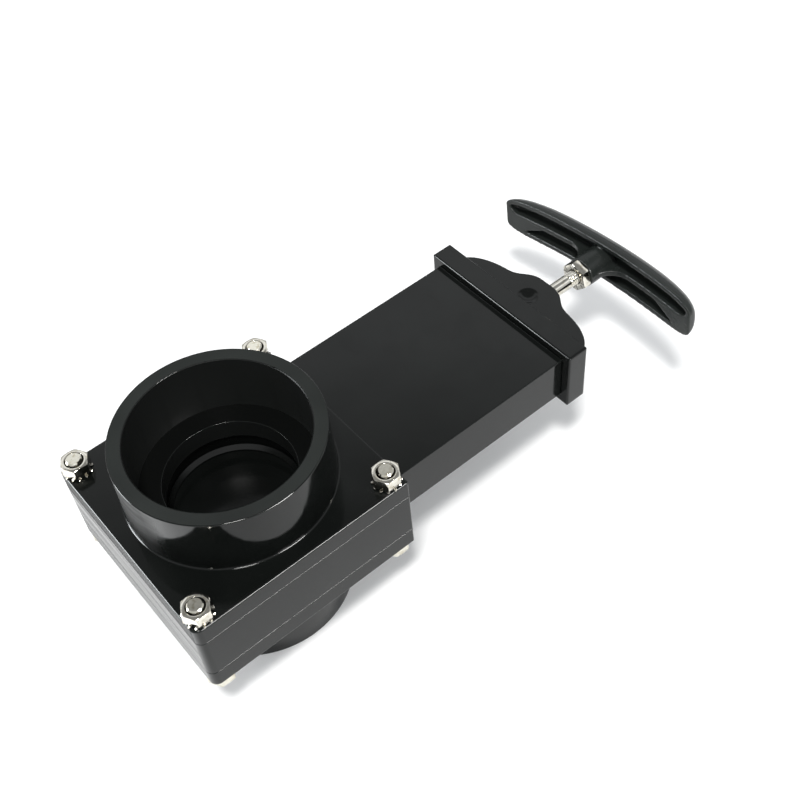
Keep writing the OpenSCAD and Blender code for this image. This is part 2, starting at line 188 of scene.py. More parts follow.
# %% Patterns
def noise(tree, per_metre, stretch=(1, 1, 1), detail=2.0):
    """A grey noise in the piece's own metres; a stretch below 1 draws it out along that axis."""
    place = tree.nodes.new("ShaderNodeTexCoord")
    drawn_out = tree.nodes.new("ShaderNodeMapping")
    drawn_out.inputs["Scale"].default_value = stretch
    texture = tree.nodes.new("ShaderNodeTexNoise")
    texture.inputs["Scale"].default_value = per_metre
    texture.inputs["Detail"].default_value = detail
    tree.links.new(place.outputs["Object"], drawn_out.inputs["Vector"])
    tree.links.new(drawn_out.outputs["Vector"], texture.inputs["Vector"])
    return texture.outputs["Fac"]


def between(tree, source, low, high, out_low, out_high):
    """Turns a grey pattern into numbers from out_low to out_high."""
    limits = tree.nodes.new("ShaderNodeMapRange")
    limits.inputs["From Min"].default_value = low
    limits.inputs["From Max"].default_value = high
    limits.inputs["To Min"].default_value = out_low
    limits.inputs["To Max"].default_value = out_high
    tree.links.new(source, limits.inputs["Value"])
    return limits.outputs["Result"]


def relief(tree, height, strength, depth, below=None):
    """A bump layer; layers are stacked by handing the one below to the next."""
    bump = tree.nodes.new("ShaderNodeBump")
    bump.inputs["Strength"].default_value = strength
    bump.inputs["Distance"].default_value = depth
    tree.links.new(height, bump.inputs["Height"])
    if below is not None:
        tree.links.new(below, bump.inputs["Normal"])
    return bump.outputs["Normal"]


# %% Blends
def combined(tree, operation, first, second):
    """Adds or multiplies two patterns."""
    step = tree.nodes.new("ShaderNodeMath")
    step.operation = operation
    tree.links.new(first, step.inputs[0])
    tree.links.new(second, step.inputs[1])
    return step.outputs["Value"]


def mixed(tree, share, first, second, kind="FLOAT"):
    """Goes from first to second by a pattern; either may be a pattern or a fixed value."""
    mix = tree.nodes.new("ShaderNodeMix")
    mix.data_type = kind
    tree.links.new(share, mix.inputs["Factor"])
    for side, given in (("A", first), ("B", second)):
        if isinstance(given, bpy.types.NodeSocket):
            tree.links.new(given, mix.inputs[side])
        else:
            mix.inputs[side].default_value = given
    return mix.outputs["Result"]


def two_tone(tree, source, low, low_colour, high, high_colour):
    """Colours a pattern: one colour up to low, another from high, and a blend between them."""
    ramp = tree.nodes.new("ShaderNodeValToRGB")
    stops = ramp.color_ramp.elements
    for stop, position, colour in zip(stops, (low, high), (low_colour, high_colour)):
        stop.position = position
        stop.color = (*colour, 1)
    tree.links.new(source, ramp.inputs["Fac"])
    return ramp.outputs["Color"]


# %% [markdown]
# ## Moulded black plastic
# Injection moulded ABS is nearly pure black under a very smooth skin. One flat black with one gloss
# would look like a drawing of it. Three things make it real: the skin is never perfectly flat, so
# reflections wander a little; handling leaves patches that are a touch duller; and fine scuffs
# catch the light. All three are noise, at the size they have on the real thing. A worn edge is the
# same plastic, rubbed a little paler, and a rim that was turned on a lathe is matt.

# %% Plastic
PLASTIC_IOR = 1.29
DARK_SHARE, PALE_SHARE = (0.80, 0.95, 0.88), (1.15, 1.35, 1.25)
GLOSS = {"tone": 0.0045, "shine": 0.08, "scuffs": 0.10}


def black_plastic(name, tone, shine, scuffs, haze=0.10):
    """Tone is how black it is, shine its lowest roughness; scuffs and haze are added to that."""
    mat = bpy.data.materials.new(name)
    mat.use_nodes = True
    tree = mat.node_tree
    skin = tree.nodes["Principled BSDF"]
    skin.inputs["IOR"].default_value = PLASTIC_IOR
    dark, pale = ([tone * part for part in shares] for shares in (DARK_SHARE, PALE_SHARE))
    cloud = noise(tree, 26)
    tree.links.new(two_tone(tree, cloud, 0.35, dark, 0.70, pale), skin.inputs["Base Color"])

    handled = between(tree, noise(tree, 55, detail=5), 0.45, 0.75, shine, shine + haze)
    scratches = between(tree, noise(tree, 900, (1, 0.05, 1), detail=1), 0.68, 0.74, 0, scuffs)
    tree.links.new(combined(tree, "ADD", handled, scratches), skin.inputs["Roughness"])

    waves = relief(tree, noise(tree, 30), strength=0.05, depth=1.2 * MM)
    grain = relief(tree, noise(tree, 1400, detail=3), strength=0.04, depth=0.05 * MM, below=waves)
    tree.links.new(grain, skin.inputs["Normal"])
    print("plastic:", name)
    return mat


gloss_black = black_plastic("gloss_black_plastic", **GLOSS)
rim_black = black_plastic("turned_rim_plastic", tone=0.0120, shine=0.56, scuffs=0.06, haze=0.14)
rim_skin = rim_black.node_tree.nodes["Principled BSDF"]
rim_skin.inputs["Specular IOR Level"].default_value = 0.3
handle_black = black_plastic("handle_black_plastic", tone=0.016, shine=0.20, scuffs=0.10)
worn_black = black_plastic("worn_black_edge", tone=0.007, shine=0.05, scuffs=0.08)
# Blade plastic a touch darker than the rest: painted shade for the port it lies in.
blade_black = black_plastic("blade_black_plastic", tone=0.0035, shine=0.10, scuffs=0.03)

# %% [markdown]
# ## Sawn flanks and matt pockets
# The two plates and the body were sawn to length on the side away from the handle, which left fine
# lines along that flank and took its gloss, more from the upper plate than from the others. Inside
# the sockets the mould was never polished. The level ledges down there are painted darker and
# reflect less: painted shade, where little light reaches. Each could be a finish of its own on
# picked faces, but the flank's rounded edges belong to both. So one finish holds all of it: the
# direction of the face tells it where the sawn flank is, and the distance from the middle axis
# where the pockets are.

# %% Sawn and pocketed plastic
POCKET = 45.2  # just outside the socket's bore
# The ledge tone is painted shade for the level ledges down in the sockets.
POCKET_ROUGH, POCKET_TONE, LEDGE_PAINTED_SHADE_TONE = 0.34, 0.0095, 0.0035
SAW_SPREAD = 0.08


def away_from_axis(tree, place):
    """How far a point is from the middle axis, in metres."""
    level = tree.nodes.new("ShaderNodeVectorMath")
    level.operation = "MULTIPLY"
    level.inputs[1].default_value = (1, 1, 0)
    reach = tree.nodes.new("ShaderNodeVectorMath")
    reach.operation = "LENGTH"
    tree.links.new(place.outputs["Object"], level.inputs[0])
    tree.links.new(level.outputs["Vector"], reach.inputs[0])
    return reach.outputs["Value"]


def sawn_plastic(name, flank_rough):
    """Glossy black plastic with a sawn flank of that roughness, matt pockets, and painted shade on
    the pockets' level ledges.
    """
    mat = black_plastic(name, **GLOSS)
    tree = mat.node_tree
    skin = tree.nodes["Principled BSDF"]
    moulded_skin, moulded_gloss, colour = (
        skin.inputs[part].links[0].from_socket for part in ("Normal", "Roughness", "Base Color"))
    place = tree.nodes.new("ShaderNodeTexCoord")
    facing = tree.nodes.new("ShaderNodeSeparateXYZ")
    tree.links.new(place.outputs["Normal"], facing.inputs["Vector"])

    flank = between(tree, facing.outputs["X"], -0.9, -0.97, 0, 1)
    lines = noise(tree, 320, (0.6, 0.03, 1), detail=5)
    cuts = combined(tree, "MULTIPLY", lines, flank)
    sawn_skin = relief(tree, cuts, strength=0.4, depth=0.07 * MM, below=moulded_skin)
    tree.links.new(sawn_skin, skin.inputs["Normal"])
    sawn = between(tree, lines, 0.35, 0.65, flank_rough - SAW_SPREAD, flank_rough + SAW_SPREAD)
    after_saw = mixed(tree, flank, moulded_gloss, sawn)

    reach = away_from_axis(tree, place)
    pocket = between(tree, reach, (POCKET + 0.4) * MM, POCKET * MM, 0, 1)
    tree.links.new(mixed(tree, pocket, after_saw, POCKET_ROUGH), skin.inputs["Roughness"])
    # The pockets' level faces, the ledges, get painted shade: a darker colour and a weak
    # reflection.
    level_up = between(tree, facing.outputs["Z"], 0.5, 0.9, 0, 1)
    ledge = combined(tree, "MULTIPLY", pocket, level_up)
    tree.links.new(between(tree, ledge, 0, 1, 0.5, 0.05), skin.inputs["Specular IOR Level"])
    for where, tone in ((pocket, POCKET_TONE), (ledge, LEDGE_PAINTED_SHADE_TONE)):
        colour = mixed(tree, where, colour, (tone, tone * 1.1, tone * 1.05, 1), "RGBA")
    tree.links.new(colour, skin.inputs["Base Color"])
    return mat


upper_black = sawn_plastic("upper_plate_plastic", flank_rough=0.50)
middle_black = sawn_plastic("body_plastic", flank_rough=0.22)
lower_black = sawn_plastic("lower_plate_plastic", flank_rough=0.24)

# %% [markdown]
# ## Bright steel and rubber
# Bolts and nuts are stainless steel. It reflects strongly, so most of its look is a warm tint and
# faint turning marks. A dark noise gives it stains. The room each point has round it, its ambient
# occlusion, finds the corners and grooves, and they are painted a dark brown: painted shade in the
# hollows. The seals are black nitrile rubber: the plastic again, but duller, and a touch darker as
# painted shade for the port they sit in.

# %% Steel and rubber
# The colour of the painted shade in the steel's corners and grooves.
PAINTED_HOLLOW_SHADE = (0.020, 0.017, 0.010, 1)
STAIN_SHARE = (0.72, 0.68, 0.60)


def bright_steel(name, tint, shine, marks):
    """Tint is its colour, shine its lowest roughness; marks draw its turning marks out."""
    mat = bpy.data.materials.new(name)
    mat.use_nodes = True
    tree = mat.node_tree
    skin = tree.nodes["Principled BSDF"]
    skin.inputs["Metallic"].default_value = 1
    # Ambient occlusion finds the hollows, which get the painted shade colour.
    hollow = tree.nodes.new("ShaderNodeAmbientOcclusion")
    hollow.inputs["Distance"].default_value = 1.6 * MM
    hollow.samples = 8
    stained = [part * share for part, share in zip(tint, STAIN_SHARE)]
    metal = two_tone(tree, noise(tree, 420, detail=4), 0.28, stained, 0.50, tint)
    clean = between(tree, hollow.outputs["AO"], 0.35, 0.80, 0, 1)
    tree.links.new(mixed(tree, clean, PAINTED_HOLLOW_SHADE, metal, "RGBA"), skin.inputs["Base Color"])
    worn = between(tree, noise(tree, 900, detail=3), 0.3, 0.7, shine, shine + 0.08)
    tree.links.new(worn, skin.inputs["Roughness"])
    dents = relief(tree, noise(tree, 500, detail=1), strength=0.05, depth=0.25 * MM)
    turned = relief(tree, noise(tree, 2600, marks), strength=0.08, depth=0.06 * MM, below=dents)
    tree.links.new(turned, skin.inputs["Normal"])
    print("steel:", name)
    return mat


UPRIGHT, LYING, NO_GRAIN = (1, 1, 0.1), (0.1, 1, 1), (1, 1, 1)
nut_steel = bright_steel("bright_nut_steel", (0.60, 0.58, 0.52), 0.07, UPRIGHT)
bolt_steel = bright_steel("bright_bolt_steel", (0.64, 0.62, 0.54), 0.09, UPRIGHT)
rod_steel = bright_steel("drawn_rod_steel", (0.66, 0.64, 0.58), 0.05, LYING)
washer_steel = bright_steel("stamped_washer_steel", (0.52, 0.50, 0.45), 0.12, NO_GRAIN)
# The seals' rubber is a touch darker too: painted shade for the port.
seal_rubber = black_plastic("nitrile_seal_rubber", tone=0.003, shine=0.20, scuffs=0.03)

# %% [markdown]
# ## Starting from a ready-made solid
# The solids have sharp corners; moulded plastic never has. Modelling each piece again would risk
# its size, so the big pieces start as copies of their solids. A copy is cleaned up first, because
# its mesh is loose triangles: points that lie on each other are merged, and triangles that lie in
# one plane become one face.

# %% Copy and clean
SAME_POINT = 0.001 * MM
SAME_PLANE = math.radians(0.6)


def cleaned_copy(node, name):
    """Copies a solid, merges its loose triangles and leaves the copy selected and active."""
    bpy.ops.object.select_all(action="DESELECT")
    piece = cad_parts[node].copy()
    piece.data = piece.data.copy()
    piece.name = name
    piece.data.name = name
    bpy.context.scene.collection.objects.link(piece)
    bpy.context.view_layer.objects.active = piece
    piece.select_set(True)
    bpy.ops.object.mode_set(mode="EDIT")
    bpy.ops.mesh.select_all(action="SELECT")
    bpy.ops.mesh.remove_doubles(threshold=SAME_POINT)
    bpy.ops.mesh.dissolve_limited(angle_limit=SAME_PLANE)
    bpy.ops.object.mode_set(mode="OBJECT")
    return piece


# %% Dress a piece
def dress(piece, body, finishes, node):
    """Gives a piece its finishes and the body it moves with, and hides the solid that it stands
    for.
    """
    piece.data.materials.clear()
    for finish in finishes:
        piece.data.materials.append(finish)
    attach(piece, body)
    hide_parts(node)
    print(piece.name, "faces:", len(piece.data.polygons))


# %% Pick faces
def pick_faces(piece, wanted):
    """Leaves the piece in edit mode with just those faces selected that wanted(face) agrees to."""
    bpy.ops.object.mode_set(mode="EDIT")
    bpy.ops.mesh.select_mode(type="FACE")
    bpy.ops.mesh.select_all(action="DESELECT")
    bpy.ops.object.mode_set(mode="OBJECT")
    for polygon in piece.data.polygons:
        polygon.select = wanted(polygon)
    bpy.ops.object.mode_set(mode="EDIT")


# %% [markdown]
# ## Flats with holes in them
# A plate's top has holes in it, and a face can't have a hole, so the cleaned copy covers the top
# with a few faces that run round the holes. A bevel drags their corners past each other and leaves
# long slivers lying over each other, which show as black strips. Moving points by hand would mend
# one of them; it is surer to cut out such a flat and fill its outline again with tidy triangles,
# once before the edges are rounded and once after.

# %% Fill level flats again
LEVEL = 0.99999  # a face counts as level when this much of its direction is upright
BIG_FLAT = 1000 * MM * MM


def refill_levels(piece):
    """Cuts out each big level flat made of several faces and fills its outline again."""
    levels = {}
    for polygon in piece.data.polygons:
        if abs(polygon.normal.z) > LEVEL:
            height = round(polygon.center.z, 5)
            levels.setdefault(height, []).append(polygon.area * polygon.normal.z)
    uneven = {z: sum(areas) for z, areas in levels.items()
              if len(areas) > 1 and abs(sum(areas)) > BIG_FLAT}
    for height, facing in uneven.items():
        pick_faces(piece, lambda face: abs(face.normal.z) > LEVEL
                   and abs(face.center.z - height) < 0.01 * MM)
        bpy.ops.mesh.delete(type="FACE")
        bpy.ops.mesh.select_mode(type="EDGE")
        bpy.ops.mesh.select_all(action="DESELECT")
        bpy.ops.mesh.select_non_manifold(extend=False, use_wire=False, use_boundary=True,
                                         use_multi_face=False, use_non_contiguous=False,
                                         use_verts=False)
        bpy.ops.mesh.fill(use_beauty=True)
        bpy.ops.object.mode_set(mode="OBJECT")
        filled = sum(p.area * p.normal.z for p in piece.data.polygons if p.select)
        if filled * facing < 0:
            bpy.ops.object.mode_set(mode="EDIT")
            bpy.ops.mesh.flip_normals()
            bpy.ops.object.mode_set(mode="OBJECT")
    print(piece.name, "level flats filled again:", len(uneven))


# %% [markdown]
# ## Flats that stay flat
# Smooth shading blends the directions of all the faces that meet at a corner, so a flat next to a
# rounded edge seems to bulge, and glossy black shows that at once. Extra rings of faces round each
# flat would hold it, but the shading can also be told directly: at every corner that it shares with
# a large flat, a nearly parallel face takes the flat's own direction.

# %% Steady the shading
PLAIN_FLAT = 60 * MM * MM
NEARLY_PARALLEL = math.radians(50)


def steady_flats(piece):
    """Turns the shading at every corner of a level or upright flat to the flat's own direction."""
    mesh = piece.data
    flat_at = {}
    for polygon in mesh.polygons:
        if max(abs(part) for part in polygon.normal) > LEVEL and polygon.area > PLAIN_FLAT:
            for v in polygon.vertices:
                flat_at.setdefault(v, polygon.normal.copy())
    heights = {round(mesh.vertices[v].co.z, 6) for v, way in flat_at.items() if abs(way.z) > 0.9}
    for polygon in mesh.polygons:
        if abs(polygon.normal.z) > LEVEL and round(polygon.center.z, 6) in heights:
            for v in polygon.vertices:
                flat_at.setdefault(v, polygon.normal.copy())
    shading = [corner.vector.copy() for corner in mesh.corner_normals]
    for polygon in mesh.polygons:
        for loop in polygon.loop_indices:
            way = flat_at.get(mesh.loops[loop].vertex_index)
            if way is not None and polygon.normal.angle(way, math.pi) < NEARLY_PARALLEL:
                shading[loop] = way
    mesh.normals_split_custom_set(shading)


# %% [markdown]
# ## Rounding the edges
# On the real pieces the radius depends on how the mould was cut, so one angle-limited bevel all
# over would not do. Each edge gets its own weight from a small function of its place, and the Bevel
# modifier multiplies that weight with its width. The faces that it makes get the worn finish. Its
# sliding along neighbouring edges is off, because that pulls the new points off their flat.

# %% Round by weight
def edge_angle(faces_at, edge):
    """Angle between the two faces at an edge, positive where the corner points outwards."""
    pair = faces_at.get(edge.key, [])
    if len(pair) != 2:
        return 0.0
    a, b = pair
    turn = a.normal.angle(b.normal, 0.0)
    return turn if (b.center - a.center).dot(a.normal) < 0 else -turn


def round_edges(piece, width, rows, weight):
    """Rounds edges sharper than 30 degrees by width times weight(middle, turn, direction)."""
    refill_levels(piece)
    mesh = piece.data
    low, high = ([pick(v.co[k] for v in mesh.vertices) for k in range(3)] for pick in (min, max))
    faces_at = {}
    for polygon in mesh.polygons:
        for key in polygon.edge_keys:
            faces_at.setdefault(key, []).append(polygon)
    share = mesh.attributes.new("bevel_weight_edge", "FLOAT", "EDGE")
    picked = 0
    for edge in mesh.edges:
        turn = math.degrees(edge_angle(faces_at, edge))
        a, b = (mesh.vertices[v].co for v in edge.vertices)
        if abs(turn) > 30:
            share.data[edge.index].value = weight((a + b) / 2 / MM, turn, (b - a).normalized())
            picked += share.data[edge.index].value > 0
    rounding = piece.modifiers.new("edge_rounding", "BEVEL")
    rounding.width = width * MM
    rounding.segments = rows
    rounding.limit_method = "WEIGHT"
    rounding.use_clamp_overlap = False
    rounding.loop_slide = False
    rounding.material = 1
    rounding.miter_outer = "MITER_ARC"
    bpy.ops.object.modifier_apply(modifier="edge_rounding")
    for vertex in mesh.vertices:
        vertex.co = [min(max(part, low[k]), high[k]) for k, part in enumerate(vertex.co)]
    refill_levels(piece)
    bpy.ops.object.shade_smooth_by_angle(angle=math.radians(40))
    flats = piece.modifiers.new("keep_flats_flat", "WEIGHTED_NORMAL")
    flats.keep_sharp = True
    bpy.ops.object.modifier_apply(modifier="keep_flats_flat")
    steady_flats(piece)
    print(piece.name, "edges rounded:", picked)


# %% [markdown]
# ## Sockets with their clamping plates
# One moulding is a square plate with a short pipe socket standing on it; a real one could also be
# turned from a block, but a mould makes thousands. The outline of the plate is rounded most. Its
# side that meets the body gets 0.4 of that, so that only a fine seam shows, and the rims of the
# socket get 0.3 to 0.5. The bolt holes stay sharp, because nuts hide them, and so do the inner
# corners, because a mould can't round a corner that it fills from outside. The flat ends of the two
# rims were turned, so they get the matt finish.

# %% Upper and lower socket
plate_low, plate_high = (corner[2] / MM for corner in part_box("valve_body"))
plate_middle = (plate_low + plate_high) / 2 * MM
plate_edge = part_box("upper_adapter")[1][0] / MM
plate_band = 5  # how far in from the plate's edge an edge still counts as its outline
bolt_at = abs(sum(corner[0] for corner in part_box("clamp_bolt_1"))) / 2 / MM
hole_reach = 5
mouth_from, mouth_to = 43, 48  # the rim's inner edge lies between these radii


def socket_weight(middle, turn, direction):
    """Share of the rounding that an edge of the socket moulding gets."""
    at_hole = math.hypot(abs(middle.x) - bolt_at, abs(middle.y) - bolt_at) < hole_reach
    if turn < 0 or at_hole:
        return 0.0
    if max(abs(middle.x), abs(middle.y)) > plate_edge - plate_band and abs(direction.z) < 0.5:
        on_seam = plate_low - 0.1 < middle.z < plate_high + 0.1
        return 0.4 if on_seam else 1.0
    return 0.5 if mouth_from < math.hypot(middle.x, middle.y) <= mouth_to else 0.3


for node, finish in (("upper_adapter", upper_black), ("lower_adapter", lower_black)):
    socket = cleaned_copy(node, node.replace("adapter", "socket_plate"))
    dress(socket, "valve", [finish, worn_black, rim_black], node)
    round_edges(socket, width=1.0, rows=4, weight=socket_weight)
    heights = [abs(polygon.center.z - plate_middle) for polygon in socket.data.polygons]
    for polygon, height in zip(socket.data.polygons, heights):
        if height > max(heights) - 0.05 * MM and abs(polygon.normal.z) > 0.99:
            polygon.material_index = 2
    print(socket.name, "rim faces:", sum(p.material_index == 2 for p in socket.data.polygons))

# %% [markdown]
# ## Body and housing
# The square middle and the long flat housing are one moulding, and rounding it whole keeps it one.
# The housing's own long edges are a little sharper than the outline of a plate, and the square's
# top and bottom edges are as fine as those of the plates they meet, for the other half of the seam.

# %% Valve body
body_front = plate_edge + 1  # the housing lies beyond this
bore_reach = 50  # edges nearer to the middle axis than this are inside
housing_side, housing_middle, housing_half = 48.8, 59.5, 13.9


def body_weight(middle, turn, direction):
    """Share of the rounding that an edge of the body gets: its housing's or its square's."""
    if turn < 0 or math.hypot(middle.x, middle.y) < bore_reach:
        return 0.0
    if middle.x > body_front:
        sideways = abs(middle.y) / housing_side
        upwards = abs(middle.z - housing_middle) / housing_half
        return 0.6 if max(sideways, upwards) > 0.98 else 0.0
    on_outline = max(abs(middle.x), abs(middle.y)) > plate_edge - plate_band
    return 0.4 if abs(direction.z) < 0.5 and on_outline else 0.0


body = cleaned_copy("valve_body", "body_with_housing")
dress(body, "valve", [middle_black, worn_black], "valve_body")
round_edges(body, width=1.0, rows=4, weight=body_weight)

# %% [markdown]
# ## End cap
# The cap is glued over the open end of the housing. Its wavy outline and the dimple on its nose
# meet the flat faces in long thin slivers that a bevel cannot follow, so the copy is recast
# instead: a Remesh modifier rebuilds it from small even squares, as if it were poured again in a
# worn mould, and a Smooth modifier melts every corner a little. The dimple then shows as a soft
# hollow.

# %% Recast and melt
def recast(piece, square, melts):
    """Rebuilds a piece from even squares and lets its corners melt that many times."""
    grid = piece.modifiers.new("recast", "REMESH")
    grid.mode = "VOXEL"
    grid.voxel_size = square * MM
    bpy.ops.object.modifier_apply(modifier="recast")
    melt = piece.modifiers.new("melt", "SMOOTH")
    melt.factor = 0.5
    melt.iterations = melts
    bpy.ops.object.modifier_apply(modifier="melt")
    bpy.ops.object.shade_smooth()
    print(piece.name, "squares:", len(piece.data.polygons))


# %% Cap
cap = cleaned_copy("end_cap", "cap_with_nose")
recast(cap, square=0.6, melts=2)
dress(cap, "valve", [gloss_black], "end_cap")

# %% [markdown]
# ## Blade, coupling and seals
# Blade and coupling are milled from sheet and hardly seen, down in the port. Their plastic is a
# touch darker than the rest, as painted shade for the port. They keep their solids' shape with
# broken corners. The seals are thin lips that a bevel would only blunt, so they stay as they are
# and get just their rubber, which is darker in the same way.

# %% Blade and seals
def every_outer_edge(middle, turn, direction):
    """All the rounding on each edge that points outwards, none in the inner corners."""
    return 1.0 if turn > 0 else 0.0


for node, name in (("gate_blade", "sliding_blade"), ("rod_coupling", "blade_coupling")):
    sheet = cleaned_copy(node, name)
    dress(sheet, "gate", [blade_black, blade_black], node)
    round_edges(sheet, width=0.3, rows=2, weight=every_outer_edge)
for node in ("upper_seal", "lower_seal"):
    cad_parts[node].material_slots[0].material = seal_rubber
    print(node, "in rubber")

# %% [markdown]
# ## T-handle
# The handle is one moulding whose ribs, fin and boss all flow into each other. Rounding that many
# crossing edges one by one would fail too, so it is recast like the cap, from finer squares. Fine
# lines run along the whole bar, left by the tool that cut its mould; they are too small to model,
# so they are a bump in the finish.

# %% Handle
handle = cleaned_copy("t_handle", "moulded_t_handle")
recast(handle, square=0.45, melts=4)
dress(handle, "gate", [handle_black], "t_handle")
grip = handle_black.node_tree
grip_skin = grip.nodes["Principled BSDF"]
smooth_skin = grip_skin.inputs["Normal"].links[0].from_socket
mould_lines = noise(grip, 700, (1, 0.03, 1), detail=3)
lined_skin = relief(grip, mould_lines, strength=0.35, depth=0.08 * MM, below=smooth_skin)
grip.links.new(lined_skin, grip_skin.inputs["Normal"])

# %% [markdown]
# ## Screw threads
# A thread is a ridge that climbs round a cylinder. It could be spun up from a profile with the
# Screw modifier, which leaves open ends to close. Here the cylinder is drawn up ring by ring from a
# circle, and then every point is moved in or out by how far along the ridge it is: its height in
# turns, less its angle in turns. Where the thread starts and ends, the ridge fades out.

# %% A threaded bar
PITCH = 1.25
RIDGE = 0.55
RIDGE_POWER = 0.8  # 1 would be a sharp V; less fills the groove's flanks
RINGS_A_TURN = 8


def ring_heights(rings, thread_from, thread_to):
    """All the heights to draw up: one for each ring, and many where the thread is."""
    heights = [rings[0][0]]
    for (low, _), (high, _) in zip(rings, rings[1:]):
        in_thread = low >= thread_from - 0.01 and high <= thread_to + 0.01
        steps = max(1, round((high - low) / (PITCH / RINGS_A_TURN))) if in_thread else 1
        heights += [low + (high - low) * (k + 1) / steps for k in range(steps)]
    return heights


def share_at(rings, z):
    """The share of its radius that the bar has at a height, in a straight line between rings."""
    for (low, low_share), (high, high_share) in zip(rings, rings[1:]):
        if low - 1e-4 <= z <= high + 1e-4:
            along = min(1.0, max(0.0, (z - low) / (high - low)))
            return low_share + (high_share - low_share) * along
    return rings[-1][1]


def threaded_bar(name, radius, rings, thread_from, thread_to):
    """A closed bar up the z axis through rings of (height, radius share), threaded in between."""
    bpy.ops.object.select_all(action="DESELECT")
    bpy.ops.mesh.primitive_circle_add(vertices=40, radius=radius * MM, fill_type="NGON",
                                      location=(0, 0, 0))
    bar = bpy.context.object
    bar.name = name
    heights = ring_heights(rings, thread_from, thread_to)
    bpy.ops.object.mode_set(mode="EDIT")
    bpy.ops.mesh.select_all(action="SELECT")
    for low, high in zip(heights, heights[1:]):
        rise = (0, 0, (high - low) * MM)
        bpy.ops.mesh.extrude_region_move(TRANSFORM_OT_translate={"value": rise})
    bpy.ops.mesh.select_all(action="SELECT")
    bpy.ops.mesh.normals_make_consistent(inside=False)
    bpy.ops.object.mode_set(mode="OBJECT")
    for vertex in bar.data.vertices:
        z = vertex.co.z / MM + heights[0]
        fade_in = max(0.0, (z - thread_from) / PITCH)
        fade_out = max(0.0, (thread_to - z) / (PITCH / 2))
        climb = (z / PITCH - math.atan2(vertex.co.y, vertex.co.x) / math.tau) % 1.0
        ridge = abs(2 * climb - 1) ** RIDGE_POWER * RIDGE * min(1.0, fade_in, fade_out)
        reach = radius * share_at(rings, z) - ridge
        flat = Vector((vertex.co.x, vertex.co.y)).normalized() * reach * MM
        vertex.co = Vector((flat.x, flat.y, z * MM))
    bpy.ops.object.shade_smooth_by_angle(angle=math.radians(35))
    print(name, "rings:", len(heights))
    return bar


# %% [markdown]
# ## Hexagons
# A real nut is a six-sided bar whose ends were turned to a cone, which leaves a curved edge on each
# flat. A plain bevel on a six-sided prism would leave straight ones. So the prism is cut to what it
# shares with a coned blank, by a Boolean modifier, and a tiny bevel takes the burr off.

# %% A coned blank
CONE_SLOPE = 2.2


def coned_blank(radius, height, low_cone, high_cone):
    """A round bar standing on the origin, its ends coned over those heights."""
    bpy.ops.mesh.primitive_cylinder_add(
        vertices=72, radius=radius * MM, depth=(height - low_cone - high_cone) * MM,
        location=(0, 0, (low_cone + height - high_cone) / 2 * MM))
    blank = bpy.context.object
    bpy.ops.object.transform_apply(location=True, rotation=False, scale=False)
    for up, cone in ((1, high_cone), (-1, low_cone)):
        if cone > 0:
            pick_faces(blank, lambda face: face.normal.z * up > 0.99)
            rise = (0, 0, up * cone * MM)
            bpy.ops.mesh.extrude_region_move(TRANSFORM_OT_translate={"value": rise})
            share = (radius - cone * CONE_SLOPE) / radius
            bpy.ops.transform.resize(value=(share, share, 1), center_override=(0, 0, 0))
            bpy.ops.object.mode_set(mode="OBJECT")
    return blank


# %% A turned hexagon
def turned_hexagon(name, flats, height, low_cone, high_cone):
    """A six-sided bar, so wide across its flats, cut to what it shares with a coned blank."""
    bpy.ops.object.select_all(action="DESELECT")
    corner = flats / 2 / math.cos(math.pi / 6)
    blank = coned_blank(corner + 0.1, height, low_cone, high_cone)
    bpy.ops.object.select_all(action="DESELECT")
    bpy.ops.mesh.primitive_cylinder_add(
        vertices=6, radius=corner * MM, depth=height * MM * 1.02,
        rotation=(0, 0, math.pi / 2), location=(0, 0, height / 2 * MM))
    hexagon = bpy.context.object
    hexagon.name = name
    bpy.ops.object.transform_apply(location=True, rotation=True, scale=False)
    turning = hexagon.modifiers.new("turn_ends", "BOOLEAN")
    turning.operation = "INTERSECT"
    turning.solver = "EXACT"
    turning.object = blank
    bpy.ops.object.modifier_apply(modifier="turn_ends")
    bpy.data.objects.remove(blank)
    return hexagon


def take_burr_off(piece, width):
    """A fine bevel on every sharp edge, and smooth shading over it."""
    burr = piece.modifiers.new("deburr", "BEVEL")
    burr.width = width * MM
    burr.segments = 2
    burr.limit_method = "ANGLE"
    burr.angle_limit = math.radians(25)
    bpy.ops.object.modifier_apply(modifier="deburr")
    bpy.ops.object.shade_smooth_by_angle(angle=math.radians(30))


# %% [markdown]
# ## A bore with countersunk ends
# The bore could be one more Boolean, but its mouth is a cone at each end. So each end is inset to
# the mouth's width and pushed in while it narrows, as a countersink would, and the two small flats
# that are left are joined through the middle by bridging them.

# %% A bored nut
CHAMFER = 0.5
SINK_DEPTH = 0.7
BURR = 0.12


def sink(nut, up, hole, mouth):
    """Sinks a countersink into one end: inset to the mouth, then in and narrower."""
    end = max((p for p in nut.data.polygons if p.normal.z * up > 0.99), key=lambda p: p.area)
    reach = max(nut.data.vertices[v].co.xy.length for v in end.vertices)
    end_number = end.index
    pick_faces(nut, lambda face: face.index == end_number)
    bpy.ops.mesh.inset(thickness=reach - mouth * MM, depth=0)
    inwards = (0, 0, -up * SINK_DEPTH * MM)
    bpy.ops.mesh.extrude_region_move(TRANSFORM_OT_translate={"value": inwards})
    bpy.ops.transform.resize(value=(hole / mouth, hole / mouth, 1), center_override=(0, 0, 0))
    bpy.ops.object.mode_set(mode="OBJECT")


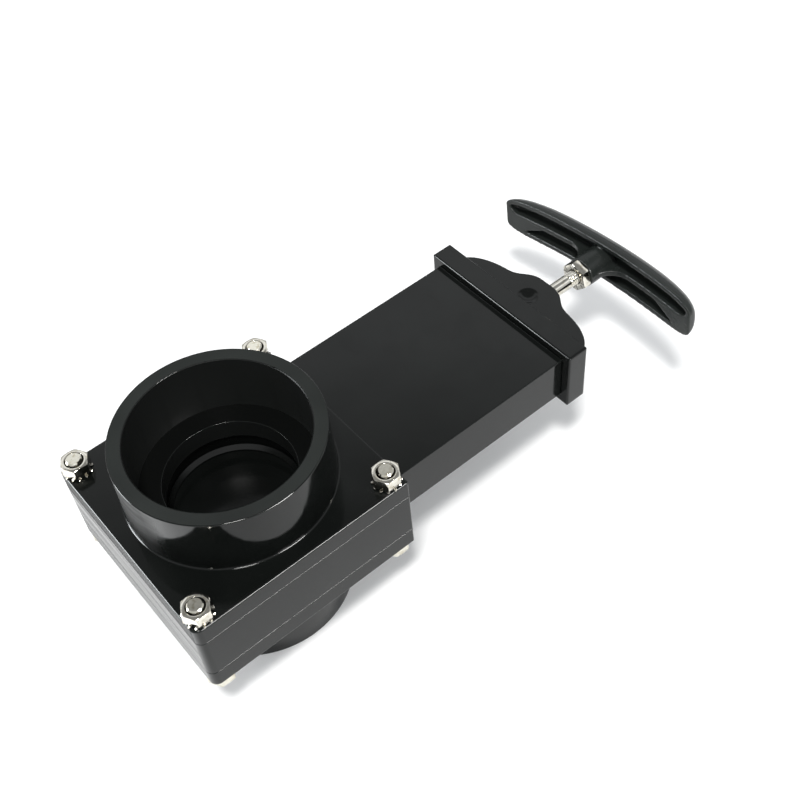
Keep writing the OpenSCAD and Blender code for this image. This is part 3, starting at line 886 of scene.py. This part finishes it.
def hexagon_nut(name, flats, height, hole, mouth):
    """A nut standing on the origin; hole and mouth are the radii of its bore."""
    nut = turned_hexagon(name, flats, height, CHAMFER, CHAMFER)
    for up in (1, -1):
        sink(nut, up, hole, mouth)

    def bottom_of_sink(face):
        depth = height / 2 - abs(face.center.z / MM - height / 2)
        on_axis = face.center.xy.length < 1 * MM
        return abs(face.normal.z) > 0.99 and abs(depth - SINK_DEPTH) < 0.05 and on_axis

    pick_faces(nut, bottom_of_sink)
    bpy.ops.mesh.bridge_edge_loops()
    bpy.ops.mesh.select_all(action="SELECT")
    bpy.ops.mesh.remove_doubles(threshold=SAME_POINT)
    bpy.ops.mesh.normals_make_consistent(inside=False)
    bpy.ops.object.mode_set(mode="OBJECT")
    take_burr_off(nut, BURR)
    return nut


# %% [markdown]
# ## Placing copies
# The nut, the bolt and the washer are each modelled once, standing on the origin, and every place
# on the valve gets a copy. Copies could share one mesh and be moved as objects, but each piece here
# has to stand at the origin with its place written into its own mesh, as the solids do.

# %% Put a copy in its place
CORNERS = (1, 2, 3, 4)


def placed_copy(master, name, where, turn=Matrix.Identity(4)):
    """A copy with a mesh of its own, turned and then moved to where it belongs."""
    copy = master.copy()
    copy.data = master.data.copy()
    copy.name = name
    copy.data.name = name
    bpy.context.scene.collection.objects.link(copy)
    copy.data.transform(Matrix.Translation(where) @ turn)
    copy.data.update()
    return copy


def corner_of(number):
    """The middle of the underside of a clamp nut."""
    low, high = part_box("clamp_nut_%d" % number)
    return Vector(((low[0] + high[0]) / 2, (low[1] + high[1]) / 2, low[2]))


# %% Four clamp nuts
nut_low, nut_high = (Vector(corner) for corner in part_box("clamp_nut_1"))
nut_height = (nut_high.z - nut_low.z) / MM
nut_flats = (nut_high.y - nut_low.y) / MM
nut_master = hexagon_nut("nut_master", nut_flats, nut_height, hole=4.1, mouth=4.9)
for number in CORNERS:
    nut = placed_copy(nut_master, "clamp_nut_%d_turned" % number, corner_of(number))
    dress(nut, "valve", [nut_steel], "clamp_nut_%d" % number)
bpy.data.objects.remove(nut_master)

# %% [markdown]
# ## Lock nut
# A thin nut on the rod, screwed tight against the handle's boss so that the handle can't turn
# loose. It is made like the others and laid on its side, with no flat quite level, as a spanner
# left it.

# %% Lock nut
LOCK_TURN = math.radians(15)
ALONG_ROD = Matrix.Rotation(math.radians(90), 4, "Y")

lock_low, lock_high = (Vector(corner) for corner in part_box("lock_nut"))
rod_height = (lock_low.z + lock_high.z) / 2
lock_corner = (lock_high.y - lock_low.y) / 2 / math.cos(LOCK_TURN) / MM
lock_flats = 2 * lock_corner * math.cos(math.pi / 6)
lock_width = (lock_high.x - lock_low.x) / MM
lock_master = hexagon_nut("lock_master", lock_flats, lock_width, hole=4.5, mouth=5.6)
lock_nut = placed_copy(lock_master, "lock_nut_turned", Vector((lock_low.x, 0, rod_height)),
                       Matrix.Rotation(-LOCK_TURN, 4, "X") @ ALONG_ROD)
dress(lock_nut, "gate", [nut_steel], "lock_nut")
bpy.data.objects.remove(lock_master)

# %% [markdown]
# ## Clamp bolts
# Each bolt goes up through both plates and the body. It is a turned hexagon for the head and a
# threaded bar for the shank, joined. The whole shank could be threaded, but only the turns that
# stand out of the nut ever show, so only the last 7 mm are cut.

# %% Bolts
SHANK_RADIUS, SHANK_FULL, SHANK_POINT = 4.0, 0.99, 0.84
CUT_LENGTH, POINT_LENGTH = 7, 0.6

bolt_low, bolt_high = (Vector(corner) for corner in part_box("clamp_bolt_1"))
washer_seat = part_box("lock_washer_1")[0][2]
head_seat = washer_seat - 2 * (washer_seat - rod_height)  # as far below the rod as that is above
head_height = (head_seat - bolt_low.z) / MM
shank_end = (bolt_high.z - bolt_low.z) / MM
head = turned_hexagon("bolt_master", nut_flats, head_height, CHAMFER, 0)
take_burr_off(head, BURR)
cut_from, cut_to = shank_end - CUT_LENGTH, shank_end - POINT_LENGTH
shank = threaded_bar("shank", SHANK_RADIUS, [
    (0.5 * head_height, SHANK_FULL), (cut_from, SHANK_FULL), (cut_to, SHANK_FULL),
    (shank_end, SHANK_POINT)], cut_from, cut_to)
bpy.ops.object.select_all(action="DESELECT")
shank.select_set(True)
head.select_set(True)
bpy.context.view_layer.objects.active = head
bpy.ops.object.join()
for number in CORNERS:
    where = corner_of(number)
    where.z = bolt_low.z
    bolt = placed_copy(head, "clamp_bolt_%d_threaded" % number, where)
    dress(bolt, "valve", [bolt_steel], "clamp_bolt_%d" % number)
bpy.data.objects.remove(head)

# %% [markdown]
# ## Pull rod
# The rod is drawn bright steel that slides through the nose of the cap. It is the same bar again,
# lying down, with its ends broken and a thread of thirteen turns under and beside the lock nut.

# %% Rod
CUT_BEFORE_NUT = 6.0
CUT_TURNS = 13
END_BREAK = 0.5

rod_low, rod_high = (Vector(corner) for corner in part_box("pull_rod"))
rod_radius = (rod_high.z - rod_low.z) / 2 / MM
rod_length = (rod_high.x - rod_low.x) / MM
cut_from = (lock_low.x - rod_low.x) / MM - CUT_BEFORE_NUT
cut_to = cut_from + CUT_TURNS * PITCH
rod_master = threaded_bar("rod_master", rod_radius, [
    (0, 0.93), (END_BREAK, 1.0), (cut_from, 1.0), (cut_to, 1.0),
    (rod_length - END_BREAK, 1.0), (rod_length, 0.9)], cut_from, cut_to)
rod = placed_copy(rod_master, "pull_rod_threaded", Vector((rod_low.x, 0, rod_height)), ALONG_ROD)
dress(rod, "gate", [rod_steel], "pull_rod")
bpy.data.objects.remove(rod_master)

# %% [markdown]
# ## Toothed lock washers
# The washer is stamped from sheet: a flat ring with twelve teeth, each twisted like a propeller
# blade so that its two corners bite. It could be cut out of a disc, but its teeth are quickest
# drawn out: every second edge of a 24-sided ring is pulled outwards to a tooth, its outer edge is
# turned about the tooth's own length, and a Solidify modifier gives the sheet its body.

# %% Washer
TEETH = 12
TIP_SHARE = 0.8  # a tooth's tip is this much narrower than its root


def toothed_washer(name, hole, root, tip, sheet, twist):
    """A toothed ring about the origin: three radii, the sheet's thickness and the teeth's twist."""
    bpy.ops.object.select_all(action="DESELECT")
    bpy.ops.mesh.primitive_circle_add(vertices=2 * TEETH, radius=hole * MM, fill_type="NOTHING",
                                      location=(0, 0, 0))
    washer = bpy.context.object
    washer.name = name
    bpy.ops.object.mode_set(mode="EDIT")
    bpy.ops.mesh.select_mode(type="EDGE")
    bpy.ops.mesh.select_all(action="SELECT")
    bpy.ops.mesh.extrude_edges_move(TRANSFORM_OT_translate={"value": (0, 0, 0)})
    bpy.ops.transform.resize(value=(root / hole, root / hole, 1), center_override=(0, 0, 0))
    for tooth in range(TEETH):
        angle = math.tau * (tooth + 0.25) / TEETH
        outward = Vector((math.cos(angle), math.sin(angle), 0))
        bpy.ops.mesh.select_all(action="DESELECT")
        bpy.ops.object.mode_set(mode="OBJECT")
        for edge in washer.data.edges:
            a, b = (washer.data.vertices[v].co for v in edge.vertices)
            middle = (a + b) / 2
            at_root = (root - 0.2) * MM < middle.length < (root + 0.01) * MM
            edge.select = at_root and middle.normalized().dot(outward) > 0.999
        bpy.ops.object.mode_set(mode="EDIT")
        step = outward * (tip - root) * MM
        bpy.ops.mesh.extrude_edges_move(TRANSFORM_OT_translate={"value": step})
        bpy.ops.object.mode_set(mode="OBJECT")
        centre = outward * tip * MM
        for vertex in washer.data.vertices:
            if vertex.select:
                across = (vertex.co - centre) * TIP_SHARE
                vertex.co = centre + Quaternion(outward, twist) @ across
        bpy.ops.object.mode_set(mode="EDIT")
    bpy.ops.mesh.select_all(action="SELECT")
    bpy.ops.mesh.normals_make_consistent(inside=False)
    bpy.ops.object.mode_set(mode="OBJECT")
    stock = washer.modifiers.new("sheet", "SOLIDIFY")
    stock.thickness = sheet * MM
    stock.offset = 0
    bpy.ops.object.modifier_apply(modifier="sheet")
    take_burr_off(washer, 0.08)
    return washer


# %% Four lock washers
washer_low, washer_high = (Vector(corner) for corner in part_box("lock_washer_1"))
washer_reach = (washer_high.x - washer_low.x) / 2 / MM
washer_master = toothed_washer("washer_master", hole=4.3, root=washer_reach - 1.6,
                               tip=washer_reach, sheet=0.85, twist=math.radians(38))
for number in CORNERS:
    where = corner_of(number)
    where.z = (washer_low.z + washer_high.z) / 2
    as_it_fell = Matrix.Rotation(math.radians(6 + 7 * number), 4, "Z")
    washer = placed_copy(washer_master, "lock_washer_%d_stamped" % number, where, as_it_fell)
    dress(washer, "valve", [washer_steel], "lock_washer_%d" % number)
bpy.data.objects.remove(washer_master)
